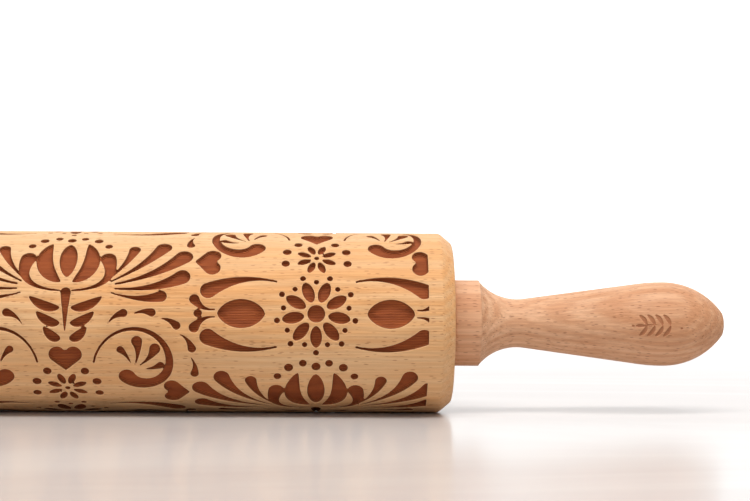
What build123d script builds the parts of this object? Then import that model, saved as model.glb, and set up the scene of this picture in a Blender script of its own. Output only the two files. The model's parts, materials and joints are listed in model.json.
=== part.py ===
from build123d import *

import math
import os

# Engraved beech rolling pin whose barrel turns on ball bearings between two handles.
#
# Frame: millimetres, +X along the roller from the left handle to the right one, +Z up,
# origin on the axis at the barrel's middle. Every right-hand piece is modelled once and
# turned half a turn about Z for the left-hand side.

# Barrel
BARREL_RADIUS = 30.0
BARREL_LENGTH = 250.0
BEVEL_LENGTH = 4.2
BEVEL_DEPTH = 3.5
BORE_RADIUS = 6.5

# Handle, measured along the axis from the collar's face
HANDLE_LENGTH = 91.2
COLLAR_RADIUS = 14.4
COLLAR_LENGTH = 8.8
COLLAR_BEVEL = 0.5
NECK_RADIUS = 8.1
NECK_PLACE = 21.5
FLARE_ANGLE = 7.8
BULB_RADIUS = 14.1
BULB_PLACE = 70.8
TIP_ARC_RADIUS = 24.9

# Axle
SHAFT_RADIUS = 4.0
SHOULDER_RADIUS = 5.0
SHAFT_IN_HANDLE = 45.0
SHAFT_TIP_CHAMFER = 0.8

# Deep-groove ball bearing of the 8 x 22 x 7 size
BEARING_RADIUS = 11.0
BEARING_WIDTH = 7.0
BEARING_RECESS = 0.4
PITCH_RADIUS = 7.5
BALL_RADIUS = 1.985
BALL_COUNT = 7
TRACK_CLEARANCE = 0.065
INNER_LAND_RADIUS = 6.05
OUTER_LAND_RADIUS = 8.8
SHIELD_SEAT_RADIUS = 9.6
SHIELD_SEAT_DEPTH = 0.8
SHIELD_THICKNESS = 0.5
SHIELD_GAP = 0.2
CAGE_WIDTH = 4.8
CAGE_WALL = 1.0
CAGE_POCKET_RADIUS = 2.1
RING_EDGE_ROUND = 0.3

# Pieces between the bearing and the handle
RUNNING_GAP = 0.8
WASHER_RADIUS = 5.8
INSERT_FLANGE_RADIUS = 7.2
INSERT_FLANGE_THICKNESS = 1.0
INSERT_LENGTH = 13.0
INSERT_RADIUS = 6.0
INSERT_ROOT_RADIUS = 5.3
INSERT_PITCH = 1.5
INSERT_FIRST_RIB = 0.375
RIB_FLANK = 0.45
RIB_CREST = 0.15
RIB_OVERLAP = 0.3

# Places along the axis, on the right-hand side
BARREL_END = BARREL_LENGTH / 2
BEARING_OUTBOARD = BARREL_END - BEARING_RECESS
BEARING_INBOARD = BEARING_OUTBOARD - BEARING_WIDTH
BEARING_MIDDLE = (BEARING_OUTBOARD + BEARING_INBOARD) / 2
COLLAR_FACE = BARREL_END + RUNNING_GAP
AXLE_END = COLLAR_FACE + SHAFT_IN_HANDLE


def turned(*outline):
    """A solid of revolution: a closed outline, drawn in XY above the X axis, turned about X."""
    return revolve(make_face(Curve() + list(outline)), axis=Axis.X)


def rod(start, end, radius):
    """A plain round bar along X between two places."""
    return Pos((start + end) / 2, 0, 0) * (Plane.YZ * Cylinder(radius, end - start))


def ring(start, end, inner, outer):
    """A plain ring along X between two places, from one radius to another."""
    return rod(start, end, outer) - rod(start, end, inner)


def circular_edges(shape, place, radius):
    """The full-circle edges of a shape at one place along X with one radius."""
    return [
        edge
        for edge in shape.edges().filter_by(GeomType.CIRCLE)
        if abs(edge.center().X - place) < 1e-3 and abs(edge.radius - radius) < 1e-3
    ]


def barrel():
    """The roller: a cylinder with bevelled ends, a through bore and a bearing seat in each end."""
    bevel_start = BARREL_END - BEVEL_LENGTH
    end_radius = BARREL_RADIUS - BEVEL_DEPTH
    body = turned(
        Polyline(
            (-BARREL_END, 0),
            (-BARREL_END, end_radius),
            (-bevel_start, BARREL_RADIUS),
            (bevel_start, BARREL_RADIUS),
            (BARREL_END, end_radius),
            (BARREL_END, 0),
            close=True,
        )
    )
    body -= rod(-BARREL_END, BARREL_END, BORE_RADIUS)
    body -= rod(BEARING_INBOARD, BARREL_END, BEARING_RADIUS)
    body -= rod(-BARREL_END, -BEARING_INBOARD, BEARING_RADIUS)
    return body


def axle():
    """The shaft: a thick middle whose shoulders locate the bearings, and thin threaded ends."""
    body = rod(-BEARING_INBOARD, BEARING_INBOARD, SHOULDER_RADIUS)
    body += rod(-AXLE_END, AXLE_END, SHAFT_RADIUS)
    tips = circular_edges(body, AXLE_END, SHAFT_RADIUS) + circular_edges(body, -AXLE_END, SHAFT_RADIUS)
    return chamfer(tips, SHAFT_TIP_CHAMFER)


def handle():
    """A turned grip: collar, cove, flared shank and rounded tip, bored for the insert and the axle."""
    collar_edge = COLLAR_RADIUS - COLLAR_BEVEL
    cove_run = NECK_PLACE - COLLAR_LENGTH
    cove_drop = collar_edge - NECK_RADIUS
    cove_radius = (cove_run**2 + cove_drop**2) / (2 * cove_drop)
    cove_start_angle = -math.asin(cove_run / cove_radius)
    flare = math.radians(FLARE_ANGLE)

    def on_cove(angle):
        return (
            NECK_PLACE + cove_radius * math.sin(angle),
            NECK_RADIUS + cove_radius * (1 - math.cos(angle)),
        )

    flare_start = on_cove(flare)
    overshoot = flare_start[1] + (BULB_PLACE - flare_start[0]) * math.tan(flare) - BULB_RADIUS
    bulb_arc_radius = overshoot / (1 / math.cos(flare) - 1)

    def on_bulb(angle):
        return (
            BULB_PLACE + bulb_arc_radius * math.sin(angle),
            BULB_RADIUS - bulb_arc_radius * (1 - math.cos(angle)),
        )

    tip_angle = math.asin((HANDLE_LENGTH - BULB_PLACE) / TIP_ARC_RADIUS)

    def on_tip(angle):
        return (
            BULB_PLACE + TIP_ARC_RADIUS * math.sin(angle),
            BULB_RADIUS - TIP_ARC_RADIUS * (1 - math.cos(angle)),
        )

    body = turned(
        Polyline(
            (COLLAR_LENGTH, collar_edge),
            (COLLAR_LENGTH - COLLAR_BEVEL, COLLAR_RADIUS),
            (COLLAR_BEVEL, COLLAR_RADIUS),
            (0, collar_edge),
            (0, 0),
            (HANDLE_LENGTH, 0),
            on_tip(tip_angle),
        ),
        ThreePointArc(on_tip(tip_angle), on_tip(tip_angle / 2), on_tip(0)),
        ThreePointArc(on_bulb(0), on_bulb(-flare / 2), on_bulb(-flare)),
        Line(on_bulb(-flare), flare_start),
        ThreePointArc(flare_start, on_cove((flare + cove_start_angle) / 2), on_cove(cove_start_angle)),
    )
    body -= rod(-1, SHAFT_IN_HANDLE + 1, SHAFT_RADIUS)
    body -= rod(-1, INSERT_LENGTH, INSERT_RADIUS)
    body -= rod(-1, INSERT_FLANGE_THICKNESS, INSERT_FLANGE_RADIUS)
    return Pos(COLLAR_FACE, 0, 0) * body


def insert():
    """The brass insert nut: a flange and a ribbed barrel that grip the handle's seat."""
    body = ring(0, INSERT_FLANGE_THICKNESS, SHAFT_RADIUS, INSERT_FLANGE_RADIUS)
    body += ring(0, INSERT_LENGTH, SHAFT_RADIUS, INSERT_ROOT_RADIUS)
    rib_count = int((INSERT_LENGTH - INSERT_FLANGE_THICKNESS) / INSERT_PITCH)
    for i in range(rib_count):
        start = INSERT_FLANGE_THICKNESS + INSERT_FIRST_RIB + i * INSERT_PITCH
        body += turned(
            Polyline(
                (start, INSERT_ROOT_RADIUS - RIB_OVERLAP),
                (start + RIB_FLANK, INSERT_RADIUS),
                (start + RIB_FLANK + RIB_CREST, INSERT_RADIUS),
                (start + 2 * RIB_FLANK + RIB_CREST, INSERT_ROOT_RADIUS - RIB_OVERLAP),
                close=True,
            )
        )
    return Pos(COLLAR_FACE, 0, 0) * body


def spacer_washer():
    """The washer that keeps the collar off the barrel and bears on the inner ring."""
    return ring(BEARING_OUTBOARD, COLLAR_FACE, SHAFT_RADIUS, WASHER_RADIUS)


def ball_track():
    """The torus that the balls run in, a little larger than they are."""
    return Pos(BEARING_MIDDLE, 0, 0) * (Plane.YZ * Torus(PITCH_RADIUS, BALL_RADIUS + TRACK_CLEARANCE))


def bearing_outer_ring():
    """The ring pressed into the barrel, with its track and a seat for each shield."""
    body = ring(BEARING_INBOARD, BEARING_OUTBOARD, OUTER_LAND_RADIUS, BEARING_RADIUS)
    body = fillet(
        circular_edges(body, BEARING_OUTBOARD, BEARING_RADIUS)
        + circular_edges(body, BEARING_INBOARD, BEARING_RADIUS),
        RING_EDGE_ROUND,
    )
    body -= ball_track()
    body -= rod(BEARING_INBOARD - 1, BEARING_INBOARD + SHIELD_SEAT_DEPTH, SHIELD_SEAT_RADIUS)
    body -= rod(BEARING_OUTBOARD - SHIELD_SEAT_DEPTH, BEARING_OUTBOARD + 1, SHIELD_SEAT_RADIUS)
    return body


def bearing_inner_ring():
    """The ring on the axle, with its track."""
    body = ring(BEARING_INBOARD, BEARING_OUTBOARD, SHAFT_RADIUS, INNER_LAND_RADIUS)
    return body - ball_track()


def ball_places():
    """The balls' centres, evenly round the pitch circle."""
    turns = [2 * math.pi * i / BALL_COUNT for i in range(BALL_COUNT)]
    return [
        Pos(BEARING_MIDDLE, PITCH_RADIUS * math.cos(turn), PITCH_RADIUS * math.sin(turn))
        for turn in turns
    ]


def bearing_balls():
    """The balls, as separate solids in one node."""
    return Compound(children=[place * Sphere(BALL_RADIUS) for place in ball_places()])


def bearing_cage():
    """The ring with a round pocket for each ball, which keeps them apart."""
    half = CAGE_WIDTH / 2
    body = ring(
        BEARING_MIDDLE - half,
        BEARING_MIDDLE + half,
        PITCH_RADIUS - CAGE_WALL / 2,
        PITCH_RADIUS + CAGE_WALL / 2,
    )
    for place in ball_places():
        body -= place * Sphere(CAGE_POCKET_RADIUS)
    return body


def bearing_shield(start):
    """A thin disc held in the outer ring, just clear of the inner ring."""
    return ring(start, start + SHIELD_THICKNESS, INNER_LAND_RADIUS + SHIELD_GAP, SHIELD_SEAT_RADIUS)


RIGHT_HAND_PIECES = {
    "handle": handle(),
    "insert_nut": insert(),
    "spacer_washer": spacer_washer(),
    "bearing_outer_ring": bearing_outer_ring(),
    "bearing_inner_ring": bearing_inner_ring(),
    "bearing_balls": bearing_balls(),
    "bearing_cage": bearing_cage(),
    "bearing_inboard_shield": bearing_shield(BEARING_INBOARD + SHIELD_SEAT_DEPTH - SHIELD_THICKNESS),
    "bearing_outboard_shield": bearing_shield(BEARING_OUTBOARD - SHIELD_SEAT_DEPTH),
}

os.makedirs("parts", exist_ok=True)
export_step(barrel(), "parts/barrel.step")
export_step(axle(), "parts/axle.step")
for name, piece in RIGHT_HAND_PIECES.items():
    export_step(piece, f"parts/{name}_right.step")
    export_step(Rot(0, 0, 180) * piece, f"parts/{name}_left.step")
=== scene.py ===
"""An engraved beech rolling pin on a pale table: its meshes, finishes, light and camera.

Sizes in the classes are millimetres, as a turner would give them. Meshes are metres in the CAD frame:
+X along the roller's axis, +Z up, the axis through the origin.
"""

import json
import logging
import math
from dataclasses import dataclass
from enum import Enum

import bmesh
import bpy
import numpy as np
from mathutils import Matrix, Vector


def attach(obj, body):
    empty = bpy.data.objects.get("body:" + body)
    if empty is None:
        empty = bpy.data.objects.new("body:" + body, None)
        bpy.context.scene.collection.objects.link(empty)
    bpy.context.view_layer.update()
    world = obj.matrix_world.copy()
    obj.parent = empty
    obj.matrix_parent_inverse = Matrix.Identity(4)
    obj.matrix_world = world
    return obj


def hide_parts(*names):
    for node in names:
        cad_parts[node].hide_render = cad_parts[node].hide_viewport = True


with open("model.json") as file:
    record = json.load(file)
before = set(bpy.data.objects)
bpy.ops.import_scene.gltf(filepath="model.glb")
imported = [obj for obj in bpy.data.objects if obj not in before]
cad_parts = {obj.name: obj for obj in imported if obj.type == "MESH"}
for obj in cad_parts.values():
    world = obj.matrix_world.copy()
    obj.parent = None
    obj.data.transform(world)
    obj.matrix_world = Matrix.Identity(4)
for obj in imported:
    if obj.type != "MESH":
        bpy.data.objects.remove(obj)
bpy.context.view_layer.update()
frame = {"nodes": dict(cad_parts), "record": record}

MM = 0.001
LOG = logging.getLogger("rolling_pin")
CUT_STATE = "cut_state"

Point = tuple[float, float]
Point3 = tuple[float, float, float]


# ------------------------------------------------------------------ the cutter's strokes


class Form(Enum):
    """How a stroke's half-width changes from its start, 0, to its end, 1."""

    COMMA = "comma"
    TEAR = "tear"
    LEAF = "leaf"

    def swell(self, along: np.ndarray) -> np.ndarray:
        """The share of the full half-width at each place along the stroke.

        A comma grows as the power 1.6 of the distance from a fine tail, a tear grows in proportion, and
        a leaf is a parabola's power 0.75 between two points.

        Args:
            along: places from 0 to 1.

        Returns:
            The share at each place.
        """
        if self is Form.COMMA:
            return 0.14 + 0.86 * along**1.6
        if self is Form.TEAR:
            return along
        return (4 * along * (1 - along)) ** 0.75


@dataclass(frozen=True)
class Stroke:
    """One cut: the line that the cutter's middle follows, and the half-width of the cut along it."""

    spine: np.ndarray
    half_width: np.ndarray


class Sketch:
    """A drawing made of strokes on the unrolled surface: u along the axis, v around it."""

    def __init__(self, strokes: list[Stroke]) -> None:
        """Keeps the strokes."""
        self.strokes = strokes

    def __add__(self, other: "Sketch") -> "Sketch":
        """Both drawings together."""
        return Sketch(self.strokes + other.strokes)

    def moved(self, u: float, v: float) -> "Sketch":
        """The drawing, shifted."""
        return Sketch([Stroke(s.spine + (u, v), s.half_width) for s in self.strokes])

    def turned(self, degrees: float) -> "Sketch":
        """The drawing, turned about its origin."""
        c, s = math.cos(math.radians(degrees)), math.sin(math.radians(degrees))
        turn = np.array([[c, s], [-s, c]])
        return Sketch([Stroke(x.spine @ turn, x.half_width) for x in self.strokes])

    def mirrored_along(self) -> "Sketch":
        """The drawing with its reflection in the line u = 0 added."""
        return self + Sketch([Stroke(s.spine * (-1, 1), s.half_width) for s in self.strokes])

    def mirrored_around(self, line: float) -> "Sketch":
        """The drawing with its reflection in the line v = line added."""
        flip = [Stroke(s.spine * (1, -1) + (0, 2 * line), s.half_width) for s in self.strokes]
        return self + Sketch(flip)


SPINE_STEP = 0.4


def shares(length: float) -> np.ndarray:
    """Even places from 0 to 1 along a line of this length, about SPINE_STEP apart."""
    return np.linspace(0.0, 1.0, max(12, round(length / SPINE_STEP)))


def parabola(
    start: Point | np.ndarray, bend: Point | np.ndarray, end: Point | np.ndarray, places: np.ndarray
) -> np.ndarray:
    """Points on the parabola that leaves start towards bend and reaches end from it.

    Args:
        start: where the parabola starts.
        bend: its control point.
        end: where it ends.
        places: the share q of each point, from 0 to 1.

    Returns:
        (1 - q)^2 start + 2 q (1 - q) bend + q^2 end for each q.
    """
    q = places[:, None]
    return (1 - q) ** 2 * np.array(start) + 2 * q * (1 - q) * np.array(bend) + q**2 * np.array(end)


def curve(form: Form, start: Point, bend: Point, end: Point, half_width: float) -> Sketch:
    """A stroke along a parabola.

    Args:
        form: how the half-width changes.
        start: where the stroke starts.
        bend: the parabola's control point.
        end: where the stroke ends.
        half_width: the greatest half-width.

    Returns:
        A drawing of one stroke.
    """
    places = shares(math.dist(start, bend) + math.dist(bend, end))
    return Sketch([Stroke(parabola(start, bend, end, places), half_width * form.swell(places))])


def straight(form: Form, start: Point, end: Point, half_width: float) -> Sketch:
    """A stroke along a straight line, which is a curve whose bend is halfway."""
    return curve(form, start, ((start[0] + end[0]) / 2, (start[1] + end[1]) / 2), end, half_width)


def spiral(form: Form, centre: Point, radii: Point, sweep: Point, half_width: float) -> Sketch:
    """A stroke along a spiral: centre + r (cos t, sin t), where r and t change evenly along it.

    Args:
        form: how the half-width changes.
        centre: the spiral's centre.
        radii: its first and last radius.
        sweep: the first and last angle in degrees, clockwise from +u.
        half_width: the greatest half-width.

    Returns:
        A drawing of one stroke.
    """
    places = shares(math.radians(abs(sweep[1] - sweep[0])) * max(radii))
    t = np.radians(sweep[0] + (sweep[1] - sweep[0]) * places)
    r = radii[0] + (radii[1] - radii[0]) * places
    spine = np.array(centre) + np.stack([r * np.cos(t), r * np.sin(t)], axis=1)
    return Sketch([Stroke(spine, half_width * form.swell(places))])


def disc(centre: Point, radius: float) -> Sketch:
    """A round dot."""
    return Sketch([Stroke(np.array([centre], dtype=float), np.array([radius]))])


def dots(*places: Point3) -> Sketch:
    """Several round dots, each given by its u, its v and its radius."""
    return sum((disc((u, v), radius) for u, v, radius in places), Sketch([]))


def heart(tip: Point, lobes: Point, spread: float, radius: float) -> Sketch:
    """A heart: tears from the tip to two round lobes, spread evenly about a point, and one between."""
    axis = np.array(lobes) - np.array(tip)
    across = spread * np.array([-axis[1], axis[0]]) / np.linalg.norm(axis)
    sides = [np.array(lobes) + across, np.array(lobes) - across]
    body = straight(Form.TEAR, tip, tuple(np.array(lobes) - 0.1 * axis), 0.8 * radius)
    return sum((straight(Form.TEAR, tip, tuple(side), radius) for side in sides), body)


# ------------------------------------------------------------------ the pattern


@dataclass(frozen=True)
class FolkPattern:
    """The barrel's flowers, leaves and hearts, in plain folk forms.

    bay is the distance between stems, and half_band the length that is cut either side of the middle.

    One unit is drawn: a flowering stem and what grows beside it. The unit is mirrored in its stem and
    repeats in a half-drop: the next stem along stands half a unit further around. v = 0 faces the front
    and v grows downwards there.
    """

    radius: float = 30.0
    repeats: int = 2
    bay: float = 80.0
    half_band: float = 116.4
    daisy_line: float = -33.0
    front_shift: float = -18.0

    def daisy(self) -> Sketch:
        """Nine petals around a disc, each a leaf with a seed at its tip, and a dot between each two."""
        petals = 9
        flower = disc((0.0, 0.0), 2.9)
        for k in range(petals):
            petal = straight(Form.LEAF, (4.1, 0.0), (10.9, 0.0), 1.95)
            petal += disc((12.7, 0.0), 1.0) + disc((10.0, 3.65), 0.9)
            flower += petal.turned(360 / petals * k + 90)
        return flower

    def star(self) -> Sketch:
        """Eight short rays around a dot."""
        rays = 8
        star = disc((0.0, 0.0), 0.9)
        for k in range(rays):
            star += straight(Form.LEAF, (2.0, 0.0), (6.6, 0.0), 1.2).turned(360 / rays * (k + 0.5))
        return star

    def tulip(self) -> Sketch:
        """A tulip's middle petal and right side, with a crown of dots above it."""
        flower = straight(Form.LEAF, (0.0, 2.0), (0.0, -12.4), 2.9)
        flower += curve(Form.LEAF, (1.9, 3.8), (10.8, -1.0), (5.8, -13.0), 2.75)
        flower += curve(Form.COMMA, (2.2, 6.8), (17.0, 5.8), (12.8, -5.4), 2.6)
        flower += dots((0.0, -15.4, 1.5), (4.2, -16.6, 1.3), (8.8, -15.0, 1.5), (12.4, -11.6, 1.3))
        return flower

    def stem(self) -> Sketch:
        """The stem and its right side: leaves that shorten downwards, then a heart, a star and dots."""
        pairs = 3
        stem = straight(Form.TEAR, (0.0, 22.0), (0.0, 7.4), 1.7)
        for k in range(pairs):
            root, length = 12.4 + 4.9 * k, 11.6 - 2.4 * k
            bend, tip = (0.55 * length, root + 0.9), (length, root - 3.6)
            stem += curve(Form.LEAF, (1.7, root), bend, tip, 1.65)
        stem += heart((0.0, 33.6), (0.0, 27.8), 2.6, 2.75) + dots((6.0, 33.8, 1.4), (9.6, 38.0, 1.5))
        return stem + self.star().moved(0.0, 41.0) + disc((10.0, 43.4), 1.4)

    def plumes(self, count: int, angles: Point, lengths: Point, half_width: float) -> Sketch:
        """Commas that fan out from one root.

        Args:
            count: how many.
            angles: the first and last comma's direction in degrees, clockwise from +u.
            lengths: the length of the outermost commas and of the middle one.
            half_width: the half-width of the middle comma's round end.

        Returns:
            The drawing, with the root at its origin.
        """
        fan = Sketch([])
        for k in range(count):
            share = k / (count - 1)
            rise = math.sin(math.pi * share)
            length = lengths[0] + (lengths[1] - lengths[0]) * rise
            bend, width = (0.66 * length, 0.12 * length), half_width * (0.66 + 0.34 * rise)
            comma = curve(Form.COMMA, (0.2 * length, 0.0), bend, (length, 0.0), width)
            fan += comma.turned(angles[0] + (angles[1] - angles[0]) * share)
        return fan

    def scroll(self) -> Sketch:
        """A spiral arm with a round end, leaves along its back, and a small fan inside it."""
        leaves, middle = 5, (23.4, 31.4)
        arm = spiral(Form.COMMA, (0.0, 0.0), (14.4, 6.0), (-176.0, 132.0), 2.8)
        for k in range(leaves):
            leaf = curve(Form.COMMA, (16.6, -1.4), (18.4, 1.6), (17.2, 5.0), 1.4)
            arm += leaf.turned(-122.0 + 29.0 * k)
        arm += self.plumes(4, (-122.0, -12.0), (8.4, 10.2), 1.9).moved(-1.4, 1.8)
        return arm.moved(*middle)

    def fillers(self) -> Sketch:
        """What stands beside the daisy and between the stems: an eye, commas, and a sideways heart."""
        line = self.daisy_line
        upper = curve(Form.LEAF, (16.4, line), (24.0, line - 4.8), (31.6, line), 2.4)
        upper += curve(Form.COMMA, (12.8, line - 10.8), (24.0, line - 13.6), (34.6, line - 7.6), 2.7)
        upper += curve(Form.COMMA, (32.4, line - 1.2), (36.6, line - 0.9), (39.0, line - 4.6), 1.7)
        fill = upper.mirrored_around(line) + disc((37.8, line), 1.4)
        fill += straight(Form.LEAF, (18.0, line), (30.0, line), 1.2)
        return fill + heart((40.6, -4.4), (46.4, -4.4), 2.6, 2.75)

    def sketch(self) -> Sketch:
        """The whole pattern on the unrolled barrel.

        Returns:
            The drawing, with u from the barrel's middle and v around it from the front.
        """
        unit = self.tulip() + self.stem() + self.scroll() + self.fillers()
        unit += self.plumes(5, (-58.0, 4.0), (20.0, 30.0), 2.95).moved(10.4, 7.2)
        unit += self.daisy().moved(0.0, self.daisy_line)
        unit = unit.mirrored_along()
        around = 2 * math.pi * self.radius / self.repeats
        whole = Sketch([])
        for column in range(-2, 3):
            for k in range(self.repeats):
                whole += unit.moved(column * self.bay, around * (k + 0.5 * (column % 2)))
        return whole.moved(0.0, self.front_shift)


def burnt_sprig() -> Sketch:
    """The handle's mark: a plain sprig of leaves on a stem, with a dot at each end."""
    pairs, first_root, gap = 4, 4.3, 2.6
    sprig = curve(Form.COMMA, (6.6, 0.8), (0.0, -0.9), (-4.6, 0.2), 0.4)
    sprig += dots((8.0, 1.0, 0.5), (-8.0, 0.2, 0.5))
    for k in range(pairs):
        root = first_root - gap * k
        for side in (-1, 1):
            bend, tip = (root - 0.6, 2.4 * side), (root - 2.6, 3.7 * side)
            sprig += curve(Form.LEAF, (root, 0.0), bend, tip, 0.75)
    return sprig + straight(Form.LEAF, (-4.4, 0.1), (-7.2, 0.2), 0.7)


# ------------------------------------------------------------------ turned and engraved meshes


def cylinder(along: np.ndarray, radius: float) -> np.ndarray:
    """Outline places (x, r) along a cylinder."""
    return np.stack([along, np.full_like(along, radius)], axis=1)


def mesh_piece(name: str, points: np.ndarray, triangles: np.ndarray) -> bpy.types.Object:
    """Puts points and triangles into a new object at the origin.

    Args:
        name: the piece's name.
        points: (n, 3) places in metres.
        triangles: (m, 3) indices into the points.

    Returns:
        The new object, linked to the scene.
    """
    mesh = bpy.data.meshes.new(name)
    mesh.vertices.add(len(points))
    mesh.vertices.foreach_set("co", points.astype(np.float32).ravel())
    mesh.loops.add(triangles.size)
    mesh.loops.foreach_set("vertex_index", triangles.astype(np.int32).ravel())
    mesh.polygons.add(len(triangles))
    mesh.polygons.foreach_set("loop_start", np.arange(0, triangles.size, 3, dtype=np.int32))
    mesh.update(calc_edges=True)
    piece = bpy.data.objects.new(name, mesh)
    bpy.context.scene.collection.objects.link(piece)
    return piece


@dataclass
class EngravedTurning:
    """A piece turned about the X axis, with a drawing sunk into part of its surface.

    rows holds the outline, one (x, r) per row of the grid, and a column of the grid is one angle around
    the axis. The drawing lies on the rows from first_row to last_row, which are evenly spaced.
    """

    name: str
    rows: np.ndarray
    closed: bool
    first_row: int
    last_row: int
    columns: int
    drawing: Sketch
    drawing_radius: float
    depth: float
    run: float = 0.25
    foot: float = 0.32
    rim: float = 0.2
    rim_drop: float = 0.06
    reach: float = 1.3
    most_triangles: int = 190_000
    crease_deg: float = 38.0

    @property
    def step_u(self) -> float:
        """The distance between rows where the drawing lies."""
        return float(self.rows[self.first_row + 1, 0] - self.rows[self.first_row, 0])

    @property
    def step_v(self) -> float:
        """The distance between columns at the drawing's radius."""
        return 2 * math.pi * self.drawing_radius / self.columns

    def distance(self) -> np.ndarray:
        """The distance from each grid point to the drawing's edge, negative inside a cut.

        For one stroke it is the least, over the spine's points, of the distance to the point less the
        half-width there. For the drawing it is the least over its strokes, and never above reach.

        Returns:
            One value for each row and column.
        """
        field = np.full((len(self.rows), self.columns), self.reach)
        u = self.rows[:, 0]
        for stroke in self.drawing.strokes:
            margin = stroke.half_width.max() + self.reach
            low, high = stroke.spine.min(axis=0) - margin, stroke.spine.max(axis=0) + margin
            inside = np.arange(len(u))
            inside = inside[(u >= low[0]) & (u <= high[0])]
            inside = inside[(inside >= self.first_row) & (inside <= self.last_row)]
            across = np.arange(math.floor(low[1] / self.step_v), math.ceil(high[1] / self.step_v) + 1)
            if not len(inside):
                continue
            du = u[inside][:, None, None] - stroke.spine[:, 0]
            dv = (across * self.step_v)[None, :, None] - stroke.spine[:, 1]
            near = (np.hypot(du, dv) - stroke.half_width).min(axis=2)
            place = np.ix_(inside, across % self.columns)
            field[place] = np.minimum(field[place], near)
        ends = np.minimum(u - u[self.first_row], u[self.last_row] - u)
        outside = (np.arange(len(u)) < self.first_row) | (np.arange(len(u)) > self.last_row)
        ends[outside] = -self.reach
        return np.maximum(field, 0.5 * self.step_u - ends[:, None])

    def on_edge(self, field: np.ndarray) -> np.ndarray:
        """Marks the nearer end of every grid edge that crosses the drawing's edge."""
        inside, size = field < 0, np.abs(field)
        cross = inside != np.roll(inside, -1, axis=1)
        nearer = size <= np.roll(size, -1, axis=1)
        edge = (cross & nearer) | np.roll(cross & ~nearer, 1, axis=1)
        cross = inside[1:] != inside[:-1]
        nearer = size[:-1] <= size[1:]
        edge[:-1] |= cross & nearer
        edge[1:] |= cross & ~nearer
        return edge

    def sunk(self, inward: np.ndarray) -> np.ndarray:
        """The depth at a distance inside the edge: depth * (1 - exp(-distance / run))."""
        return self.depth * (1 - np.exp(-np.maximum(inward, 0.0) / self.run))

    def wrapped(self, u: np.ndarray, v: np.ndarray, r: np.ndarray) -> np.ndarray:
        """Points in metres at u along the axis, v around it and r from it; v = 0 faces the front."""
        turn = v / self.drawing_radius
        return np.stack([u, -r * np.cos(turn), -r * np.sin(turn)], axis=-1) * MM

    def surface(self) -> tuple[np.ndarray, np.ndarray, np.ndarray]:
        """Works out the points and triangles of the engraved surface.

        Grid points beside the drawing's edge slide along the distance's slope onto it, so no cell is
        cut by it. Each point on the edge becomes three: one a rim's width outside it on the turned
        surface, one on the edge and a little lower, and one a foot inside it at the cut's depth there.
        Two bands of quads, the rounded-over rim and the wall, join the three.

        Returns:
            The points in metres, the triangles, and each point's state: 1 on a cut's edge, -1 in a cut,
            0 on the turned surface.
        """
        field = self.distance()
        edge = self.on_edge(field)
        slope_u = np.gradient(field, axis=0) / self.step_u
        slope_v = (np.roll(field, -1, axis=1) - np.roll(field, 1, axis=1)) / (2 * self.step_v)
        least_slope, most_slide = 0.35, 0.6 * self.step_u
        steep = np.maximum(np.hypot(slope_u, slope_v), least_slope)
        slide = np.where(edge, np.clip(-field / steep, -most_slide, most_slide), 0.0)
        out_u, out_v = slope_u / steep, slope_v / steep
        u = self.rows[:, :1] + slide * out_u
        v = np.arange(self.columns) * self.step_v + slide * out_v
        r = np.broadcast_to(self.rows[:, 1:], field.shape).copy()
        engraved = slice(self.first_row, self.last_row + 1)
        r[engraved] = np.interp(u[engraved], self.rows[engraved, 0], self.rows[engraved, 1])
        level = np.where(field < 0, self.sunk(-field), 0.0) * ~edge
        top = self.wrapped(u, v, r - level)

        at = np.nonzero(edge)
        edge_u, edge_v, out_u, out_v = u[at], v[at], out_u[at], out_v[at]
        low_u, low_v, foot = self.stepped(field, edge_u, edge_v, out_u, out_v, -self.foot)
        bottom = self.wrapped(low_u, low_v, r[at] - self.sunk(foot))
        shore_u, shore_v, _ = self.stepped(field, edge_u, edge_v, out_u, out_v, self.rim)
        shore = self.wrapped(shore_u, shore_v, r[at])
        top[at] = self.wrapped(edge_u, edge_v, r[at] - self.rim_drop)

        count, added = field.size, len(edge_u)
        bottom_of, shore_of = np.arange(count), np.arange(count)
        flat = np.ravel_multi_index(at, field.shape)
        bottom_of[flat] = count + np.arange(added)
        shore_of[flat] = count + added + np.arange(added)
        points = np.concatenate([top.reshape(-1, 3), bottom, shore])
        state = np.zeros(len(points))
        state[:count] = -np.sign(level).ravel()
        state[flat] = 1.0
        state[count : count + added] = -1.0
        return points, self.woven(field, edge, bottom_of, shore_of), state

    def stepped(
        self,
        field: np.ndarray,
        u: np.ndarray,
        v: np.ndarray,
        out_u: np.ndarray,
        out_v: np.ndarray,
        step: float,
    ) -> tuple[np.ndarray, np.ndarray, np.ndarray]:
        """Steps from the drawing's edge straight out or in, less far where there is little room.

        Args:
            field: the distance at each grid point.
            u: places on the edge, along the axis.
            v: the same places, around it.
            out_u: the way out of the cut there, along the axis.
            out_v: the way out of the cut there, around it.
            step: how far to go, negative for into the cut.

        Returns:
            The new places, u and v, and the distance gone.
        """
        least_share = 0.1
        room = np.abs(self.sampled(field, u + step * out_u, v + step * out_v))
        gone = step * np.clip(room / abs(step), least_share, 1.0)
        return u + gone * out_u, v + gone * out_v, np.abs(gone)

    def sampled(self, field: np.ndarray, u: np.ndarray, v: np.ndarray) -> np.ndarray:
        """The field between grid points, by weighting the four around each place."""
        i = np.clip((u - self.rows[self.first_row, 0]) / self.step_u + self.first_row, 0, len(field) - 2)
        j = v / self.step_v
        i0, j0 = np.floor(i).astype(int), np.floor(j).astype(int)
        a, b = i - i0, j - j0
        near, far = field[i0], field[i0 + 1]
        pick = np.arange(len(i0))
        left, right = j0 % self.columns, (j0 + 1) % self.columns
        lower = near[pick, left] * (1 - b) + near[pick, right] * b
        upper = far[pick, left] * (1 - b) + far[pick, right] * b
        return lower * (1 - a) + upper * a

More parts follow.
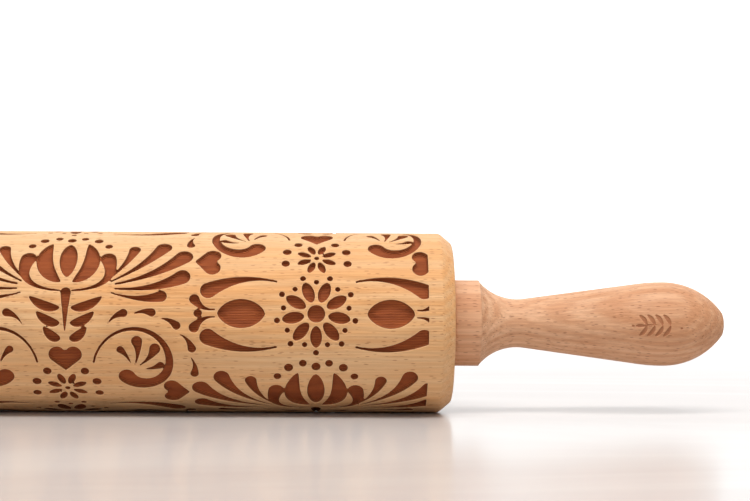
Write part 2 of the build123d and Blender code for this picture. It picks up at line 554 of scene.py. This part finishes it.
    def woven(
        self, field: np.ndarray, edge: np.ndarray, bottom_of: np.ndarray, shore_of: np.ndarray
    ) -> np.ndarray:
        """Weaves the grid's triangles, and the rims and walls between the land and the cuts.

        A cell is split along the diagonal that doesn't join a point inside a cut to one outside.

        Args:
            field: the distance at each grid point.
            edge: the grid points that lie on the drawing's edge.
            bottom_of: for each grid point, the index of its point at the foot of the wall.
            shore_of: for each grid point, the index of its point outside the rim.

        Returns:
            (m, 3) indices, with every face turned outwards.
        """
        side = np.where(edge, 0, np.sign(field)).astype(int)
        index = np.arange(field.size).reshape(field.shape)
        last = len(field) if self.closed else len(field) - 1
        after = (np.arange(last) + 1) % len(field)
        a, d = index[:last], index[after]
        b, c = np.roll(a, -1, axis=1), np.roll(d, -1, axis=1)
        flat_side, flat_field = side.ravel(), field.ravel()
        flip = (flat_side[a] * flat_side[c] < 0)[..., None]
        first = np.where(flip, np.stack([a, b, d], axis=-1), np.stack([a, b, c], axis=-1))
        second = np.where(flip, np.stack([b, c, d], axis=-1), np.stack([a, c, d], axis=-1))
        triangles = np.concatenate([first.reshape(-1, 3), second.reshape(-1, 3)])
        total = flat_side[triangles].sum(axis=1)
        inside = np.where(total == 0, flat_field[triangles].mean(axis=1) < 0, total < 0)
        cut, land = triangles[inside], triangles[~inside]

        def edges(faces: np.ndarray) -> np.ndarray:
            """The three directed edges of each face."""
            return np.concatenate([faces[:, [0, 1]], faces[:, [1, 2]], faces[:, [2, 0]]])

        brink, land_edges = edges(cut), edges(land)
        keys = brink[:, 0] * field.size + brink[:, 1]
        shared = np.isin(keys, land_edges[:, 1] * field.size + land_edges[:, 0])
        p, q = brink[shared].T
        bands = [shore_of[land], bottom_of[cut]]
        for upper_p, upper_q, lower_p, lower_q in (
            (p, q, bottom_of[p], bottom_of[q]),
            (shore_of[p], shore_of[q], p, q),
        ):
            bands.append(np.stack([upper_p, upper_q, lower_q], axis=1))
            bands.append(np.stack([upper_p, lower_q, lower_p], axis=1))
        return np.concatenate(bands)

    def build(self) -> bpy.types.Object:
        """Makes the finished piece: merged poles, few enough triangles, and creases kept sharp.

        Returns:
            The piece, at the origin.
        """
        points, triangles, state = self.surface()
        used, triangles = np.unique(triangles, return_inverse=True)
        piece = mesh_piece(self.name, points[used], triangles.reshape(-1, 3))
        attribute = piece.data.attributes.new(CUT_STATE, "FLOAT", "POINT")
        attribute.data.foreach_set("value", state[used].astype(np.float32))
        LOG.info("%s: %d triangles before thinning", self.name, len(triangles.reshape(-1, 3)))
        loose = bmesh.new()
        loose.from_mesh(piece.data)
        bmesh.ops.remove_doubles(loose, verts=loose.verts, dist=1e-6)
        loose.to_mesh(piece.data)
        loose.free()
        if len(piece.data.polygons) > self.most_triangles:
            thin = piece.modifiers.new("thin", "DECIMATE")
            thin.ratio = self.most_triangles / len(piece.data.polygons)
            bpy.context.view_layer.objects.active = piece
            bpy.ops.object.modifier_apply(modifier=thin.name)
        mesh = piece.data
        mesh.polygons.foreach_set("use_smooth", np.ones(len(mesh.polygons), dtype=bool))
        mesh.set_sharp_from_angle(angle=math.radians(self.crease_deg))
        LOG.info("%s: %d triangles", self.name, len(mesh.polygons))
        return piece


@dataclass(frozen=True)
class BarrelSizes:
    """The barrel's outline in millimetres."""

    radius: float = 30.0
    length: float = 250.0
    bevel_length: float = 4.2
    bevel_depth: float = 3.5
    bevel_round: float = 0.8
    bore: float = 6.5
    seat_radius: float = 11.0
    seat_depth: float = 7.4
    cut_depth: float = 1.6


class Barrel:
    """The engraved barrel: a cylinder with a cone at each end, two bearing seats and a bore."""

    def __init__(self, sizes: BarrelSizes, pattern: FolkPattern, columns: int = 472) -> None:
        """Keeps the sizes, the pattern and how many columns the mesh has around."""
        self.sizes = sizes
        self.pattern = pattern
        self.columns = columns

    def half_outline(self) -> np.ndarray:
        """The outline from the cylinder's end to the middle of the bore, at the barrel's +X end.

        It follows a rounded corner, the bevel's cone, a second rounded corner, the end face, the
        bearing's seat and the bore. Each rounded corner is a parabola between points bevel_round
        before and after the corner.

        Returns:
            (n, 2) places (x, r) in millimetres.
        """
        s = self.sizes
        end = s.length / 2
        corners = np.array([[end - s.bevel_length, s.radius], [end, s.radius - s.bevel_depth]])
        cone = corners[1] - corners[0]
        cone = cone / np.linalg.norm(cone)
        places = np.linspace(0, 1, 6)[1:]
        path = []
        for corner, before, after in (
            (corners[0], np.array([1.0, 0.0]), cone),
            (corners[1], cone, np.array([0.0, -1.0])),
        ):
            a, b = corner - s.bevel_round * before, corner + s.bevel_round * after
            path.append(parabola(a, corner, b, places))
            if after is cone:
                stop = corners[1] - s.bevel_round * cone
                path.append(b + np.linspace(0, 1, 10)[1:-1, None] * (stop - b))
        face = np.linspace(s.radius - s.bevel_depth - s.bevel_round, s.seat_radius, 24)[1:]
        path.append(np.stack([np.full_like(face, end), face], axis=1))
        seat = end - s.seat_depth
        path.append(np.array([[seat, s.seat_radius], [seat, s.bore]]))
        bore = np.linspace(seat, 0.0, 16)[1:]
        path.append(cylinder(bore, s.bore))
        return np.concatenate(path)

    def build(self) -> bpy.types.Object:
        """Makes the engraved barrel.

        Returns:
            The piece, in place.
        """
        s = self.sizes
        step = 2 * math.pi * s.radius / self.columns
        flat_end = s.length / 2 - s.bevel_length - s.bevel_round
        count = 2 * round(flat_end / step) + 1
        side = np.linspace(-flat_end, flat_end, count)
        right = self.half_outline()
        left = right[::-1][1:] * (-1, 1)
        rows = np.concatenate([cylinder(side, s.radius), right, left])
        band = np.nonzero(np.abs(side) <= self.pattern.half_band)[0]
        turning = EngravedTurning(
            name="barrel_engraved",
            rows=rows,
            closed=True,
            first_row=int(band[0]),
            last_row=int(band[-1]),
            columns=self.columns,
            drawing=self.pattern.sketch(),
            drawing_radius=s.radius,
            depth=s.cut_depth,
        )
        return turning.build()


@dataclass(frozen=True)
class HandleSizes:
    """A handle's outline in millimetres, from its collar's face outwards.

    A mark can lie from mark_start to mark_reach past the bulb's place, and its middle is mark_offset
    before that place.
    """

    face: float = 125.8
    length: float = 91.2
    collar_radius: float = 14.4
    collar_length: float = 8.8
    collar_bevel: float = 0.5
    neck_radius: float = 8.1
    neck_place: float = 21.5
    flare_deg: float = 7.8
    bulb_radius: float = 14.1
    bulb_place: float = 70.8
    tip_arc_radius: float = 24.9
    flange_radius: float = 7.2
    flange_depth: float = 1.0
    insert_radius: float = 6.0
    insert_depth: float = 13.0
    bore_radius: float = 4.0
    bore_depth: float = 46.0
    mark_start: float = 54.0
    mark_reach: float = 12.0
    mark_offset: float = 4.0


class Handle:
    """A turned grip: collar, cove, flared shank and rounded tip, hollow for its insert and the axle."""

    def __init__(self, name: str, sizes: HandleSizes, end: int, columns: int) -> None:
        """Keeps the piece's name, its sizes, its end of the axis (1 or -1) and the mesh's columns."""
        self.name = name
        self.sizes = sizes
        self.end = end
        self.columns = columns

    def radius_at(self, along: np.ndarray) -> np.ndarray:
        """The radius between the collar and the tip.

        The cove is a circle's arc with its lowest point at the neck, the shank is a straight flare
        tangent to it, and the bulb is an arc tangent to the flare and level at the bulb's place. Past
        that the tip is an arc of its own radius.

        Args:
            along: distances from the collar's face, from the collar to the tip.

        Returns:
            The radius at each distance.
        """
        s = self.sizes
        run, drop = s.neck_place - s.collar_length, s.collar_radius - s.collar_bevel - s.neck_radius
        cove = (run**2 + drop**2) / (2 * drop)
        flare = math.radians(s.flare_deg)
        start = s.neck_place + cove * math.sin(flare)
        start_radius = s.neck_radius + cove * (1 - math.cos(flare))
        overshoot = start_radius + (s.bulb_place - start) * math.tan(flare) - s.bulb_radius
        bulb = overshoot / (1 / math.cos(flare) - 1)
        in_cove = s.neck_radius + cove - np.sqrt(np.maximum(cove**2 - (along - s.neck_place) ** 2, 0))
        in_flare = start_radius + (along - start) * math.tan(flare)
        off = along - s.bulb_place
        in_bulb = s.bulb_radius - bulb + np.sqrt(np.maximum(bulb**2 - off**2, 0))
        tip = s.tip_arc_radius
        in_tip = s.bulb_radius - tip + np.sqrt(np.maximum(tip**2 - off**2, 0))
        bulb_start = s.bulb_place - bulb * math.sin(flare)
        parts = [along < start, along < bulb_start, along < s.bulb_place]
        return np.select(parts, [in_cove, in_flare, in_bulb], in_tip)

    def turned(self, along: np.ndarray) -> np.ndarray:
        """Outline places (x, r) between the collar and the tip."""
        return np.stack([along, self.radius_at(along)], axis=1)

    def outline(self) -> tuple[np.ndarray, int, int]:
        """The whole outline, from the bottom of the bore over the collar to the tip.

        Returns:
            (n, 2) places (x, r) in millimetres, and the first and last row of the evenly spaced
            stretch that can take a mark.
        """
        s = self.sizes
        fine, coarse = 0.25, 0.8
        mark_end = s.bulb_place + s.mark_reach
        bevel, knee = s.collar_bevel, 0.3 * s.collar_bevel
        bore = np.linspace(s.bore_depth, s.insert_depth, 24)
        seat = np.linspace(s.insert_depth, s.flange_depth, 12)
        parts = [
            [(s.bore_depth, 0.0)],
            cylinder(bore, s.bore_radius),
            cylinder(seat, s.insert_radius),
            [(s.flange_depth, s.flange_radius), (0.0, s.flange_radius)],
            [(0.0, r) for r in np.linspace(s.flange_radius, s.collar_radius - bevel, 9)[1:]],
            [(knee, s.collar_radius - knee)],
            cylinder(np.linspace(bevel, s.collar_length - bevel, 14), s.collar_radius),
            [(s.collar_length - knee, s.collar_radius - knee)],
        ]
        before = np.arange(s.collar_length, s.mark_start - 0.5 * coarse, coarse)
        mark = np.arange(s.mark_start, mark_end, fine)
        parts.append(self.turned(before))
        first = sum(len(p) for p in parts)
        parts.append(self.turned(mark))
        last = first + len(mark) - 1
        start = math.asin((mark_end - s.bulb_place) / s.tip_arc_radius)
        stop = math.asin((s.length - s.bulb_place) / s.tip_arc_radius)
        turn = np.linspace(start, stop, 22)[1:-1]
        parts.append(self.turned(s.bulb_place + s.tip_arc_radius * np.sin(turn)))
        facet = float(self.radius_at(np.array([s.length]))[0])
        q, rounding = np.linspace(0, 1, 6), 0.3
        corner = np.stack([s.length - rounding * (1 - q) ** 2, facet * (1.06 - 0.3 * q)], axis=1)
        parts += [corner, [(s.length, 0.5 * facet), (s.length, 0.0)]]
        rows = np.concatenate([np.array(p, dtype=float).reshape(-1, 2) for p in parts])
        return rows, first, last

    def build(self, mark: Sketch) -> bpy.types.Object:
        """Makes the handle with a mark burnt into its bulb.

        Args:
            mark: the drawing, with u along the axis from its own middle and v from the front.

        Returns:
            The piece, in place.
        """
        s = self.sizes
        rows, first, last = self.outline()
        rows = rows + (s.face, 0.0)
        if self.end < 0:
            rows = rows[::-1] * (-1, 1)
            first, last = len(rows) - 1 - last, len(rows) - 1 - first
        turning = EngravedTurning(
            name=self.name,
            rows=rows,
            closed=False,
            first_row=first,
            last_row=last,
            columns=self.columns,
            drawing=mark.moved(self.end * (s.face + s.bulb_place - s.mark_offset), 0.0),
            drawing_radius=s.bulb_radius,
            depth=0.3,
            run=0.15,
            foot=0.1,
            rim=0.08,
            rim_drop=0.02,
        )
        return turning.build()


# ------------------------------------------------------------------ finishes

Colour = tuple[float, float, float]
Socket = bpy.types.NodeSocket


class Shader:
    """A material's node tree with short names for what the finishes below need."""

    def __init__(self, name: str, slot: str) -> None:
        """Starts a material with one Principled shader and the piece's own coordinates in metres."""
        self.material = bpy.data.materials.new(name)
        self.material.use_nodes = True
        self.slot = slot
        self.tree = self.material.node_tree
        self.surface = self.tree.nodes["Principled BSDF"]
        self.place = self.tree.nodes.new("ShaderNodeTexCoord")

    def feed(self, socket: Socket, value: object) -> None:
        """Links an input to another node's output, or sets it if the value is a constant."""
        if isinstance(value, bpy.types.NodeSocket):
            self.tree.links.new(value, socket)
        else:
            socket.default_value = value

    def node(self, kind: str, inputs: dict[str | int, object], **settings: object) -> bpy.types.Node:
        """Adds a node, and gives each of its inputs a constant or a link.

        Args:
            kind: the node's type, without its ShaderNode prefix.
            inputs: a value or another node's output for each input, by name or number.
            settings: the node's own attributes.

        Returns:
            The node.
        """
        node = self.tree.nodes.new("ShaderNode" + kind)
        for key, value in settings.items():
            setattr(node, key, value)
        for key, value in inputs.items():
            self.feed(node.inputs[key], value)
        return node

    def math(self, operation: str, *values: Socket | float) -> Socket:
        """A Math node's result."""
        return self.node("Math", dict(enumerate(values)), operation=operation).outputs[0]

    def stretched(self, scale: Point3) -> Socket:
        """The piece's coordinates, multiplied by a scale on each axis."""
        inputs = {"Vector": self.place.outputs["Object"], "Scale": scale}
        return self.node("Mapping", inputs).outputs[0]

    def noise(self, vector: Socket, scale: float, detail: float = 2.0, distortion: float = 0.0) -> Socket:
        """A noise's value, about 0 to 1."""
        inputs = {"Vector": vector, "Scale": scale, "Detail": detail, "Distortion": distortion}
        return self.node("TexNoise", inputs).outputs[0]

    def ranged(self, value: Socket, low: float, high: float, to: Point = (0, 1)) -> Socket:
        """A value mapped from low..high to another range, held at its ends, with eased steps."""
        inputs = {"Value": value, "From Min": low, "From Max": high, "To Min": to[0], "To Max": to[1]}
        return self.node("MapRange", inputs, interpolation_type="SMOOTHSTEP").outputs[0]

    def mixed(self, share: Socket | float, first: Socket | Colour, second: Socket | Colour) -> Socket:
        """A blend of two colours."""
        node = self.tree.nodes.new("ShaderNodeMix")
        node.data_type = "RGBA"
        for place, value in ((0, share), (6, first), (7, second)):
            self.feed(node.inputs[place], (*value, 1.0) if isinstance(value, tuple) else value)
        return node.outputs[2]

    def finish(self, links: dict[str, Socket | float], height: Socket, depth: float) -> None:
        """Links the shader's inputs, and bends its normal by a bump of the given depth in metres."""
        for name, value in links.items():
            self.feed(self.surface.inputs[name], value)
        bump = self.node("Bump", {"Height": height, "Distance": depth})
        self.feed(self.surface.inputs["Normal"], bump.outputs[0])

    def dress(self, piece: bpy.types.Object) -> None:
        """Gives the material to a new piece or to a carried-over node."""
        if piece.data.materials:
            for place in piece.material_slots:
                place.material = self.material
        else:
            piece.data.materials.append(self.material)


@dataclass(frozen=True)
class Beech:
    """Turned and sanded beech: faint rings, fine pores along the axis, and short brown ray flecks.

    Where the surface lies below land_radius a laser has burnt it, ruled with scan lines. The cut is
    darker with depth and darkest on the walls, partly the burn and partly painted shade, and its edges
    carry a pale painted highlight.
    """

    name: str
    slot: str
    pale: Colour
    warm: Colour
    fleck: Colour
    pith: Point
    mark: Colour | None = None
    land_radius: float | None = None
    half_band: float = 0.1168
    ring_pitch: float = 0.0024
    scan_pitch: float = 0.00055
    bump_depth: float = 0.00012
    floor_pale: Colour = (0.52, 0.13, 0.03)
    # floor_dark also darkens the deeper floors, partly as a deeper burn and partly as painted shade in
    # the recess.
    floor_dark: Colour = (0.22, 0.045, 0.01)
    # wall: the burnt walls' colour, darker than the char alone, so it is partly painted shade on the
    # walls.
    wall: Colour = (0.22, 0.06, 0.014)
    # rim: a painted highlight colour, laid along the edges of the cuts.
    rim: Colour = (0.92, 0.58, 0.31)

    def rings(self, s: Shader) -> Socket:
        """Growth rings: a wave of the distance from the tree's pith line, bent by slow noise."""
        parts = s.node("SeparateXYZ", {0: s.place.outputs["Object"]})
        y = s.math("SUBTRACT", parts.outputs[1], self.pith[0])
        z = s.math("SUBTRACT", parts.outputs[2], self.pith[1])
        away = s.math("SQRT", s.math("ADD", s.math("MULTIPLY", y, y), s.math("MULTIPLY", z, z)))
        drift = s.noise(s.stretched((0.25, 1.0, 1.0)), 22.0, 3.0)
        bent = s.math("ADD", away, s.math("MULTIPLY", drift, 0.006))
        wave = s.math("SINE", s.math("MULTIPLY", bent, 2 * math.pi / self.ring_pitch))
        fade = s.ranged(s.noise(s.stretched((3, 30, 30)), 1.0, 2.0), 0.3, 0.7)
        return s.math("MULTIPLY", s.ranged(wave, -0.9, 1.0), fade)

    def flecks(self, s: Shader, scale: Point3, cut: float) -> Socket:
        """Ray flecks: where a cell's distance is small, in cells drawn out along the axis."""
        vector = s.stretched(scale)
        inputs = {"Vector": vector, "Scale": 1.0, "Randomness": 1.0}
        cell = s.node("TexVoronoi", inputs, feature="F1")
        near = s.ranged(cell.outputs["Distance"], cut, 0.45 * cut, (0.0, 1.0))
        keep = s.ranged(s.node("SeparateColor", {0: cell.outputs["Color"]}).outputs[0], 0.35, 0.6)
        return s.math("MULTIPLY", near, keep)

    def make(self) -> Shader:
        """Builds the finish.

        Returns:
            The shader, ready to dress pieces.
        """
        s = Shader(self.name, self.slot)
        rings = self.rings(s)
        pores = s.ranged(s.noise(s.stretched((60, 1600, 1600)), 1.0, 3.0), 0.38, 0.66)
        fibres = s.noise(s.stretched((14, 420, 420)), 1.0, 4.0)
        cloud = s.noise(s.stretched((7, 22, 22)), 1.0, 3.0)
        flecks = self.flecks(s, (330, 1500, 1500), 0.34)
        tone = s.math("ADD", s.math("MULTIPLY", rings, 0.16), s.math("MULTIPLY", fibres, 0.5))
        tone = s.math("ADD", tone, s.math("MULTIPLY", cloud, 0.75))
        colour = s.mixed(s.ranged(tone, 0.45, 0.95), self.pale, self.warm)
        colour = s.mixed(s.math("MULTIPLY", flecks, 0.6), colour, self.fleck)
        shade = s.math("MULTIPLY", s.ranged(pores, 1.0, 0.0), 0.16)
        colour = s.mixed(shade, colour, self.fleck)
        hairs = s.ranged(s.noise(s.stretched((130, 3800, 3800)), 1.0, 2.0), 0.62, 0.75)
        colour = s.mixed(s.math("MULTIPLY", hairs, 0.42), colour, self.fleck)
        height = s.math("ADD", s.math("MULTIPLY", pores, 0.5), s.math("MULTIPLY", fibres, 0.6))
        rough = s.ranged(fibres, 0.2, 0.8, (0.52, 0.66))
        if self.mark is not None:
            state = s.node("Attribute", {}, attribute_name=CUT_STATE).outputs["Fac"]
            colour = s.mixed(s.math("MULTIPLY", s.ranged(state, 0.0, -0.8), 0.75), colour, self.mark)
        if self.land_radius is not None:
            colour, height, rough = self.burnt(s, colour, height, rough)
        links = {"Base Color": colour, "Roughness": rough, "Specular IOR Level": 0.32}
        s.finish(links, height, self.bump_depth)
        return s

    def burnt(self, s: Shader, colour: Socket, height: Socket, rough: Socket) -> tuple[Socket, ...]:
        """Adds the laser's burn where the surface is cut, with painted shade on its walls and in its
        depth, and a painted highlight along its edges.

        Depth is the land's radius less the distance from the axis. A wall is where the surface's own
        normal is nearly square to the radius. Scan lines are a wave of the angle about the axis.

        Args:
            s: the shader.
            colour: the bare wood's colour.
            height: the bare wood's bump.
            rough: the bare wood's roughness; not used.

        Returns:
            The colour with the burn, its painted shade and the painted edge highlight, the bump with the
            scan lines, and a roughness from the burn alone.
        """
        parts = s.node("SeparateXYZ", {0: s.place.outputs["Object"]})
        across = s.node("CombineXYZ", {1: parts.outputs[1], 2: parts.outputs[2]}).outputs[0]
        radius = s.node("VectorMath", {0: across}, operation="LENGTH").outputs["Value"]
        depth = s.math("SUBTRACT", self.land_radius, radius)
        inside = s.math("LESS_THAN", s.math("ABSOLUTE", parts.outputs[0]), self.half_band)
        burn = s.math("MULTIPLY", inside, s.ranged(depth, 0.00008, 0.0004))
        # deep: how far below the land, used to darken the floor, partly a deeper burn and partly painted
        # shade in the recess.
        deep = s.ranged(depth, 0.0003, 0.0015)
        outward = s.node("VectorMath", {0: across}, operation="NORMALIZE").outputs[0]
        facing = s.node("VectorMath", {0: outward, 1: s.place.outputs["Normal"]}, operation="DOT_PRODUCT")
        # steep marks the walls, which take the dark wall colour: partly char, partly painted shade.
        steep = s.math("MULTIPLY", inside, s.ranged(facing.outputs["Value"], 0.86, 0.35))
        angle = s.math("ARCTAN2", parts.outputs[2], parts.outputs[1])
        line_count = 2 * math.pi * self.land_radius / self.scan_pitch
        jitter = s.math("MULTIPLY", s.noise(s.stretched((9, 60, 60)), 1.0, 1.0), 2.5)
        scan = s.math("SINE", s.math("ADD", s.math("MULTIPLY", angle, line_count), jitter))
        lines = s.math("MULTIPLY_ADD", scan, 0.5, 0.5)
        soot = s.noise(s.stretched((90, 500, 500)), 1.0, 4.0)
        mottle = s.math("ADD", s.math("MULTIPLY", lines, 0.45), s.math("MULTIPLY", soot, 0.9))
        floor = s.mixed(s.ranged(mottle, 0.3, 0.95), self.floor_pale, self.floor_dark)
        # Deeper floors are pulled towards floor_dark: partly a deeper burn, partly painted shade.
        floor = s.mixed(s.math("MULTIPLY", deep, 0.35), floor, self.floor_dark)
        # Walls are pulled towards the wall colour, partly as char and partly as painted shade.
        floor = s.mixed(s.math("MULTIPLY", steep, 0.8), floor, self.wall)
        # Painted highlight: the pale rim colour is mixed in where the cut state is near 1, on the cut
        # edges.
        edge_state = s.node("Attribute", {}, attribute_name=CUT_STATE).outputs["Fac"]
        edge_highlighted = s.mixed(s.math("MULTIPLY", s.ranged(edge_state, 0.0, 0.8), 0.45), colour, self.rim)
        toasted = s.mixed(burn, edge_highlighted, floor)
        ruled = s.math("MULTIPLY", s.math("MULTIPLY", lines, burn), 1.2)
        return toasted, s.math("ADD", height, ruled), s.ranged(burn, 0.0, 1.0, (0.58, 0.8))


@dataclass(frozen=True)
class Metal:
    """A turned or ground metal: fine rings about the axis, faint smudges, and a few scratches."""

    name: str
    slot: str
    colour: Colour
    tint: Colour
    roughness: float
    ring_pitch: float
    ring_depth: float

    def make(self) -> Shader:
        """Builds the finish.

        Returns:
            The shader, ready to dress pieces.
        """
        s = Shader(self.name, self.slot)
        rings = s.noise(s.stretched((1 / self.ring_pitch, 18, 18)), 1.0, 2.0)
        smudge = s.noise(s.stretched((160, 160, 160)), 1.0, 4.0)
        scratch = s.ranged(s.noise(s.stretched((900, 2600, 2600)), 1.0, 3.0, 0.8), 0.60, 0.72)
        colour = s.mixed(s.ranged(smudge, 0.35, 0.7), self.colour, self.tint)
        low, high = 0.75 * self.roughness, 1.35 * self.roughness
        rough = s.math("ADD", s.ranged(smudge, 0.3, 0.75, (low, high)), s.math("MULTIPLY", scratch, 0.08))
        height = s.math("ADD", rings, s.math("MULTIPLY", scratch, 0.4))
        links = {"Base Color": colour, "Roughness": rough, "Metallic": 1.0}
        s.finish(links, height, self.ring_depth)
        return s


@dataclass(frozen=True)
class Nylon:
    """Moulded nylon: matte, faintly mottled and cloudy."""

    name: str = "moulded nylon"
    slot: str = "nylon"
    colour: Colour = (0.72, 0.66, 0.52)
    tint: Colour = (0.62, 0.55, 0.4)

    def make(self) -> Shader:
        """Builds the finish.

        Returns:
            The shader, ready to dress pieces.
        """
        s = Shader(self.name, self.slot)
        cloud = s.noise(s.stretched((420, 420, 420)), 1.0, 4.0)
        grain = s.noise(s.stretched((5200, 5200, 5200)), 1.0, 2.0)
        colour = s.mixed(s.ranged(cloud, 0.35, 0.7), self.colour, self.tint)
        rough = s.ranged(cloud, 0.3, 0.8, (0.42, 0.58))
        s.finish({"Base Color": colour, "Roughness": rough, "Subsurface Weight": 0.08}, grain, 0.00002)
        return s


# ------------------------------------------------------------------ the studio


@dataclass(frozen=True)
class Studio:
    """A pale table that curves up into a backdrop, three soft lights, and the camera."""

    table: float = -30.0
    camera_place: Point3 = (82.1, -611.4, 24.2)
    yaw_deg: float = -1.63
    roll_deg: float = 0.35
    lens: float = 87.36
    sweep_start: float = 2300.0
    sweep_radius: float = 1200.0

    def camera(self) -> None:
        """Sets the camera level at barrel height, a little to the right of the barrel's middle."""
        data = bpy.data.cameras.new("camera")
        data.lens = self.lens
        data.sensor_width = 36.0
        data.clip_start = 0.01
        data.clip_end = 50.0
        camera = bpy.data.objects.new("camera", data)
        turn = Matrix.Rotation(math.radians(self.yaw_deg), 4, "Z")
        level = Matrix.Rotation(math.radians(90), 4, "X")
        roll = Matrix.Rotation(math.radians(self.roll_deg), 4, "Z")
        camera.matrix_world = Matrix.Translation(Vector(self.camera_place) * MM) @ turn @ level @ roll
        bpy.context.scene.collection.objects.link(camera)
        bpy.context.scene.camera = camera

    def sweep(self) -> None:
        """Makes the table and backdrop, one sheet: flat, then a quarter circle, then upright."""
        angle = np.linspace(0, math.pi / 2, 33)
        front, height, half_width = -3000.0, 3500.0, 4000.0
        y = np.concatenate([[front], self.sweep_start + self.sweep_radius * np.sin(angle)])
        z = np.concatenate([[0.0], self.sweep_radius * (1 - np.cos(angle))])
        y, z = np.append(y, y[-1]), np.append(z, height) + self.table
        sides = np.array([-half_width, half_width])
        points = np.stack(np.broadcast_arrays(sides[:, None], y, z), axis=-1).reshape(-1, 3) * MM
        a = np.arange(len(y) - 1)
        b, c, d = a + len(y), a + len(y) + 1, a + 1
        triangles = np.concatenate([np.stack([a, b, c], axis=1), np.stack([a, c, d], axis=1)])
        sheet = mesh_piece("table_and_backdrop", points, triangles)
        sheet.data.polygons.foreach_set("use_smooth", np.ones(len(triangles), dtype=bool))
        shader = Shader("pale table", "")
        cloud = shader.noise(shader.stretched((2.5, 6.0, 2.5)), 1.0, 5.0, 0.8)
        table = shader.mixed(shader.ranged(cloud, 0.35, 0.7), (0.57, 0.53, 0.515), (0.68, 0.655, 0.645))
        depth = shader.node("SeparateXYZ", {0: shader.place.outputs["Object"]}).outputs[1]
        # Painted light: further back the sheet is painted paler and glows white, standing in for a
        # brightly lit backdrop, and the glow lights the pin from behind.
        far = shader.ranged(depth, 0.08, 1.1)
        colour = shader.mixed(far, table, (0.9, 0.9, 0.9))
        glow = shader.math("MULTIPLY", far, 0.6)
        shader.finish({"Base Color": colour, "Roughness": 0.2, "Emission Strength": glow}, cloud, 0.0)
        shader.surface.inputs["Emission Color"].default_value = (1.0, 1.0, 1.0, 1.0)
        shader.dress(sheet)

    def light(
        self, name: str, place: Point3, aim: Point3, size: Point, watts: float, colour: Colour
    ) -> None:
        """Hangs a soft rectangular light.

        Args:
            name: the light's name.
            place: where it hangs, in metres.
            aim: the point it faces, in metres.
            size: its width and height in metres.
            watts: its power.
            colour: its colour.
        """
        data = bpy.data.lights.new(name, "AREA")
        data.shape = "RECTANGLE"
        data.size, data.size_y = size
        data.energy = watts
        data.color = colour
        lamp = bpy.data.objects.new(name, data)
        turn = (Vector(aim) - Vector(place)).to_track_quat("-Z", "Y").to_matrix().to_4x4()
        lamp.matrix_world = Matrix.Translation(place) @ turn
        lamp.visible_camera = False
        bpy.context.scene.collection.objects.link(lamp)

    def lights(self) -> None:
        """Hangs a narrow key overhead, a faint light behind and a front fill, and whitens the world."""
        aim = (0.08, 0.0, 0.0)
        self.light("overhead", (0.15, -0.34, 1.0), aim, (1.2, 0.3), 12.0, (1.0, 0.985, 0.96))
        self.light("behind", (0.1, 0.9, 0.9), aim, (2.2, 0.8), 3.5, (1.0, 1.0, 1.0))
        self.light("front_fill", (-0.4, -2.3, 1.1), (0.0, 0.0, 0.0), (2.2, 1.2), 9.0, (1.0, 0.96, 0.91))
        world = bpy.data.worlds.new("white room")
        world.use_nodes = True
        world.node_tree.nodes["Background"].inputs[0].default_value = (1.0, 1.0, 1.0, 1.0)
        world.node_tree.nodes["Background"].inputs[1].default_value = 0.42
        bpy.context.scene.world = world
        bpy.context.scene.view_settings.view_transform = "Standard"


# ------------------------------------------------------------------ the pin


class RollingPin:
    """The whole pin: new wooden pieces around the CAD's hardware."""

    def __init__(self) -> None:
        """Makes the finishes."""
        self.barrel_wood = Beech(
            name="engraved beech",
            slot="engraved_beech",
            pale=(0.76, 0.48, 0.25),
            warm=(0.74, 0.37, 0.14),
            fleck=(0.36, 0.13, 0.04),
            pith=(0.065, -0.11),
            land_radius=0.030,
        ).make()
        self.handle_wood = Beech(
            name="turned beech",
            slot="turned_beech",
            pale=(0.80, 0.49, 0.30),
            warm=(0.60, 0.29, 0.145),
            fleck=(0.25, 0.085, 0.035),
            pith=(-0.09, 0.05),
            mark=(0.33, 0.115, 0.045),
        ).make()
        steel = Metal(
            name="turned steel",
            slot="steel",
            colour=(0.62, 0.63, 0.65),
            tint=(0.5, 0.51, 0.53),
            roughness=0.3,
            ring_pitch=0.00018,
            ring_depth=0.000012,
        )
        ground = Metal(
            name="ground bearing steel",
            slot="bearing_steel",
            colour=(0.7, 0.71, 0.73),
            tint=(0.6, 0.61, 0.64),
            roughness=0.16,
            ring_pitch=0.00009,
            ring_depth=0.000004,
        )
        brass = Metal(
            name="machined brass",
            slot="brass",
            colour=(0.78, 0.55, 0.24),
            tint=(0.62, 0.4, 0.15),
            roughness=0.28,
            ring_pitch=0.0002,
            ring_depth=0.00001,
        )
        self.hardware = {f.slot: f.make() for f in (steel, ground, brass, Nylon())}

    def place(self, piece: bpy.types.Object, node: str, body: str, shader: Shader) -> None:
        """Dresses a new piece, and sets it in its node's place on its body."""
        shader.dress(piece)
        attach(piece, body)
        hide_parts(node)
        LOG.info("%s replaces %s", piece.name, node)

    def build(self) -> None:
        """Builds the wood and dresses the hardware."""
        barrel = Barrel(BarrelSizes(), FolkPattern()).build()
        self.place(barrel, "barrel", "barrel", self.barrel_wood)
        left = Handle("handle_left_turned", HandleSizes(), -1, 160).build(Sketch([]))
        self.place(left, "handle_left", "handles", self.handle_wood)
        right = Handle("handle_right_turned", HandleSizes(), 1, 352).build(burnt_sprig())
        self.place(right, "handle_right", "handles", self.handle_wood)
        for subpart in frame["record"]["subparts"]:
            shader = self.hardware.get(subpart["material_slot"])
            if shader:
                shader.dress(frame["nodes"][subpart["node"]])
                LOG.info("%s is finished as %s", subpart["node"], shader.material.name)


def main() -> None:
    """Sets the camera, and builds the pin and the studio."""
    logging.basicConfig(level=logging.INFO, format="%(name)s: %(message)s")
    studio = Studio()
    studio.camera()
    RollingPin().build()
    studio.sweep()
    studio.lights()


if __name__ == "__main__":
    main()
